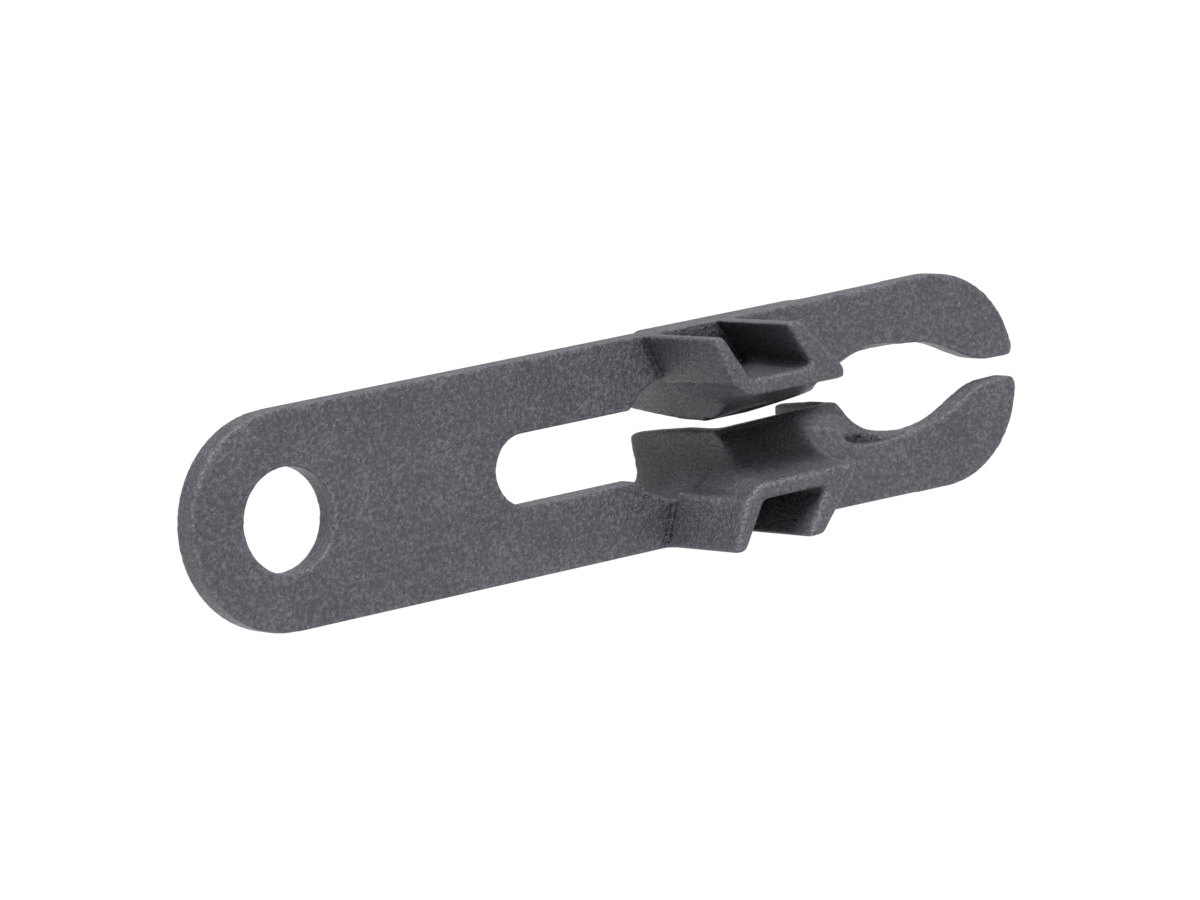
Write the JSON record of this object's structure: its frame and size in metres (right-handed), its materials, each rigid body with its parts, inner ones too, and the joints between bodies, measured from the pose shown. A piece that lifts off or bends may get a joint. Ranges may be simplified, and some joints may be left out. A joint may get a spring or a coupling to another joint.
{
  "type": "line spring clip",
  "caption": "One-piece sprung plastic clip: flat tang with an eyelet, slotted arms with hollow lugs either side of a round seat and throat, ending in ring-shaped jaws.",
  "frame": {"origin": "centre of the eyelet, in the middle of the plate's thickness", "axes": "+X from the eyelet towards the jaws, +Z towards the upper arm, -Y is the front"},
  "size_m": [0.12, 0.0317, 0.0256],
  "materials": {
    "plastic": "satin, fine spark-eroded grain"
  },
  "bodies": {
    "tang": {"tang_plate": "plastic"},
    "upper_arm": {"upper_flexure": "plastic", "upper_seat_arm": "plastic", "upper_throat_bar": "plastic", "upper_jaw": "plastic", "upper_front_left_wall": "plastic", "upper_front_throat_wall": "plastic", "upper_front_right_wall": "plastic", "upper_rear_left_wall": "plastic", "upper_rear_web": "plastic", "upper_rear_right_wall": "plastic"},
    "lower_arm": {"lower_flexure": "plastic", "lower_seat_arm": "plastic", "lower_throat_bar": "plastic", "lower_jaw": "plastic", "lower_front_left_wall": "plastic", "lower_front_throat_wall": "plastic", "lower_front_right_wall": "plastic", "lower_rear_left_wall": "plastic", "lower_rear_web": "plastic", "lower_rear_right_wall": "plastic"}
  },
  "joints": [
    {"name": "upper_arm_flex", "type": "hinge", "parent": "tang", "child": "upper_arm", "pos_m": [0.0415, 0, 0.00845], "axis": [0, -1, 0], "range_deg": [-0.6, 6], "stiffness_Nm_per_rad": 14, "deforming": ["upper_flexure"]},
    {"name": "lower_arm_flex", "type": "hinge", "parent": "tang", "child": "lower_arm", "pos_m": [0.0415, 0, -0.00845], "axis": [0, 1, 0], "range_deg": [-0.6, 6], "stiffness_Nm_per_rad": 14, "deforming": ["lower_flexure"]}
  ]
}
